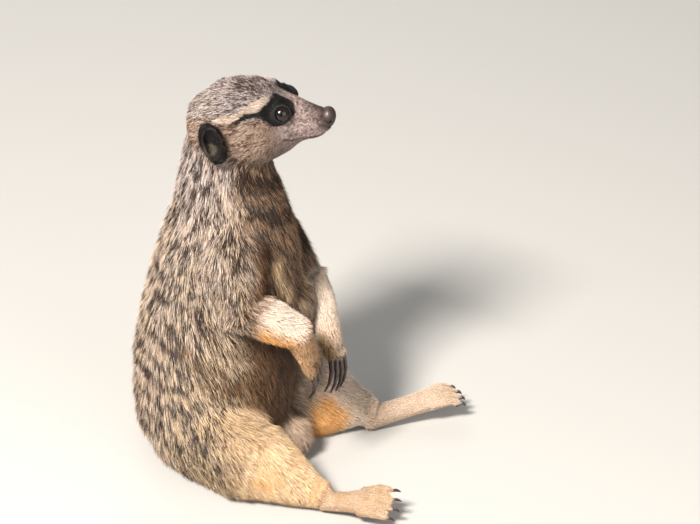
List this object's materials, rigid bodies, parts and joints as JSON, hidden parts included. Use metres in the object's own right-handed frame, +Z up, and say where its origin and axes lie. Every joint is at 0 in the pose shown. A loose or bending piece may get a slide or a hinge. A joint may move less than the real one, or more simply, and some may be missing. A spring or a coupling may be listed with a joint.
{
  "type": "meerkat",
  "caption": "Life-size meerkat sitting upright on its rump, hind legs stretched forward, forepaws hanging over the belly and tail laid on the floor.",
  "frame": {"origin": "on the floor, within the flat of the rump that the animal sits on", "axes": "+X the way the animal faces, +Y the animal's left, +Z up"},
  "size_m": [0.1766, 0.1912, 0.226],
  "materials": {
    "coat": "grizzled short fur over skin, matte",
    "pale_coat": "pale cream short fur over skin, matte",
    "dark_coat": "near-black short fur, matte",
    "nose": "bare pebbled nose skin, slightly moist",
    "eye": "wet and glossy, stands in for a living eye",
    "claw": "smooth dark horn, semi-gloss"
  },
  "bodies": {
    "root": {"belly": "coat", "chest": "coat", "head": "coat", "left_ear": "dark_coat", "left_eye": "eye", "left_foot": "pale_coat", "left_foot_claw_1": "claw", "left_foot_claw_2": "claw", "left_foot_claw_3": "claw", "left_foot_claw_4": "claw", "left_forearm": "pale_coat", "left_hand": "pale_coat", "left_hand_claw_1": "claw", "left_hand_claw_2": "claw", "left_hand_claw_3": "claw", "left_hand_claw_4": "claw", "left_shank": "pale_coat", "left_thigh": "coat", "left_upper_arm": "coat", "neck": "coat", "nose": "nose", "right_ear": "dark_coat", "right_eye": "eye", "right_foot": "pale_coat", "right_foot_claw_1": "claw", "right_foot_claw_2": "claw", "right_foot_claw_3": "claw", "right_foot_claw_4": "claw", "right_forearm": "pale_coat", "right_hand": "pale_coat", "right_hand_claw_1": "claw", "right_hand_claw_2": "claw", "right_hand_claw_3": "claw", "right_hand_claw_4": "claw", "right_shank": "pale_coat", "right_thigh": "coat", "right_upper_arm": "coat", "tail_middle": "coat", "tail_root": "coat", "tail_tip": "dark_coat"}
  },
  "joints": []
}
